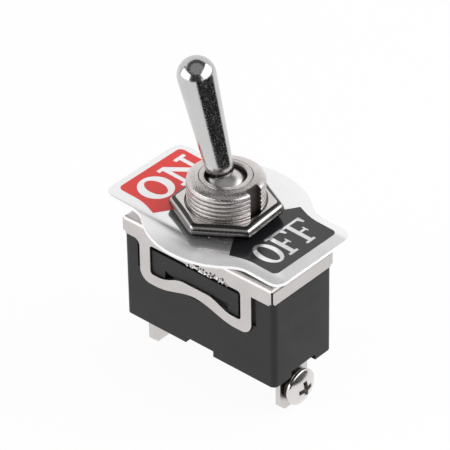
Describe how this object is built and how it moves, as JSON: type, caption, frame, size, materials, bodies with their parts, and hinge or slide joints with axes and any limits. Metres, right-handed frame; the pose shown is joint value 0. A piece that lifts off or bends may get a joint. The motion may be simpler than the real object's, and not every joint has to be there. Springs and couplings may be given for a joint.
{
  "type": "panel toggle switch",
  "caption": "Panel-mount toggle switch: chromed bat lever in a threaded bushing, hex nuts, ON/OFF plate, black housing in a folded metal cover, screw terminals.",
  "frame": {"origin": "on the bushing's axis, in the plane of the front nut's top face, where the bare thread begins", "axes": "+Z along the bushing's axis, out of the panel; +X along the housing towards the OFF end; -Y the front face"},
  "size_m": [0.0345, 0.0258, 0.0542],
  "materials": {
    "phenolic": "satin moulded",
    "fibre": "matte fibre sheet",
    "cover_nickel": "nickel-plated sheet",
    "bushing_nickel": "turned, nickel plated",
    "pin_steel": "ground",
    "lever_chrome": "bright",
    "nylon": "smooth",
    "spring_steel": "drawn wire",
    "washer_zinc": "zinc plated",
    "nut_nickel": "nickel plated",
    "plate_aluminium": "bright satin, printed",
    "terminal_nickel": "nickel-plated brass",
    "silver": "silver",
    "support_brass": "stamped",
    "pad_rubber": "matte",
    "rocker_copper": "stamped copper",
    "screw_nickel": "nickel plated"
  },
  "bodies": {
    "base": {"housing": "phenolic", "insulating_sheet": "fibre", "cover_frame": "cover_nickel", "bushing": "bushing_nickel", "pivot_pin": "pin_steel", "lock_washer": "washer_zinc", "on_off_plate": "plate_aluminium", "terminal_on": "terminal_nickel", "terminal_off": "terminal_nickel", "fixed_contact": "silver", "rocker_support": "support_brass", "support_rivet": "support_brass", "rest_pad": "pad_rubber"},
    "lever_body": {"lever": "lever_chrome", "plunger_spring": "spring_steel"},
    "plunger_body": {"plunger": "nylon"},
    "rocker_body": {"rocker": "rocker_copper", "rocker_contact": "silver"},
    "front_nut_body": {"front_nut": "nut_nickel"},
    "backing_nut_body": {"backing_nut": "nut_nickel"},
    "screw_body": {"terminal_screw": "screw_nickel"}
  },
  "joints": [
    {"name": "lever_tilt", "type": "hinge", "parent": "base", "child": "lever_body", "pos_m": [0, 0, 0.00085], "axis": [0, 1, 0], "range_deg": [0, 32]},
    {"name": "plunger_slide", "type": "slide", "parent": "lever_body", "child": "plunger_body", "axis": [-0.2756, 0, 0.9613], "range_m": [0, 0.0012], "stiffness_N_per_m": 200, "springref_m": -0.002, "deforming": ["plunger_spring"]},
    {"name": "rocker_tilt", "type": "hinge", "parent": "base", "child": "rocker_body", "pos_m": [0, 0, -0.01835], "axis": [0, 1, 0], "range_deg": [-20, 0]},
    {"name": "front_nut_spin", "type": "hinge", "parent": "base", "child": "front_nut_body", "pos_m": [0, 0, 0], "axis": [0, 0, 1], "continuous": true},
    {"name": "backing_nut_spin", "type": "hinge", "parent": "base", "child": "backing_nut_body", "pos_m": [0, 0, -0.0044], "axis": [0, 0, 1], "continuous": true},
    {"name": "terminal_screw_spin", "type": "hinge", "parent": "base", "child": "screw_body", "pos_m": [0.013, 0, -0.028], "axis": [1, 0, 0], "continuous": true}
  ],
  "couplings": [
    {"joint": "rocker_tilt", "follows": "lever_tilt", "ratio": -0.625}
  ]
}
